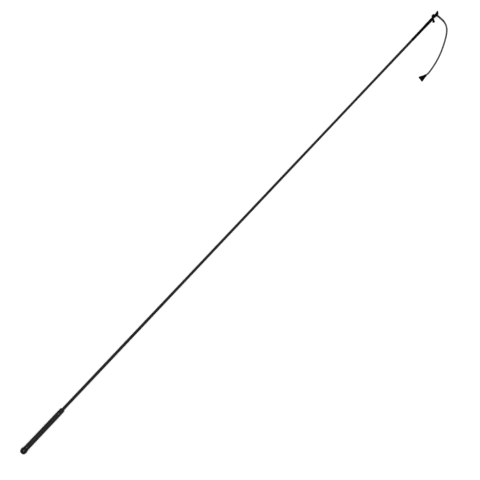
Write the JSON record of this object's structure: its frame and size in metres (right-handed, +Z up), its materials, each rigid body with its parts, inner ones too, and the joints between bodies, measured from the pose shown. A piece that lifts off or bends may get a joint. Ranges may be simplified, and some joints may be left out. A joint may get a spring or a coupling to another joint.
{
  "type": "riding whip",
  "caption": "Long slim schooling whip with a braided shaft, a rubber grip with a rounded knob, and a short tasselled lash looped to its knotted tip.",
  "frame": {"origin": "on the floor below the middle of the whip, which lies on its knob and its tip knot; the lash and what is on it are left out of the box", "axes": "+X along the shaft from the butt to the tip, +Z up, and the lash lies on the -Y side"},
  "size_m": [1.5096, 0.0963, 0.0161],
  "materials": {
    "fibreglass": "pultruded glass-fibre rod, pale and slightly translucent",
    "braided_cover": "tight black nylon braid with a soft sheen",
    "mounting_tape": "matt double-sided tape",
    "handle_rubber": "moulded black rubber, finely patterned, satin",
    "collar_rubber": "smooth brownish-black rubber",
    "binding_thread": "waxed black thread",
    "knot_cord": "waxed black cord",
    "lash_yarn": "dark purplish-grey braided cord, and the thread at its throat",
    "tassel_yarn": "frayed black yarn"
  },
  "bodies": {
    "whip": {"core_rod": "fibreglass", "shaft_braid": "braided_cover", "grip_tape": "mounting_tape", "grip_sleeve": "handle_rubber", "grip_collar": "collar_rubber", "butt_cap": "handle_rubber", "tip_whipping": "binding_thread", "tip_loop": "knot_cord", "tip_knot": "knot_cord"},
    "lash": {"lash_eye": "lash_yarn", "throat_whipping": "lash_yarn", "lash_splice": "lash_yarn", "lash_cord": "lash_yarn", "tassel_binding": "binding_thread", "tassel": "tassel_yarn"}
  },
  "joints": [
    {"name": "lash_swing", "type": "hinge", "parent": "whip", "child": "lash", "pos_m": [0.7443, -0.0016, 0.0043], "axis": [0, 0, 1], "range_deg": [-25, 165]}
  ]
}
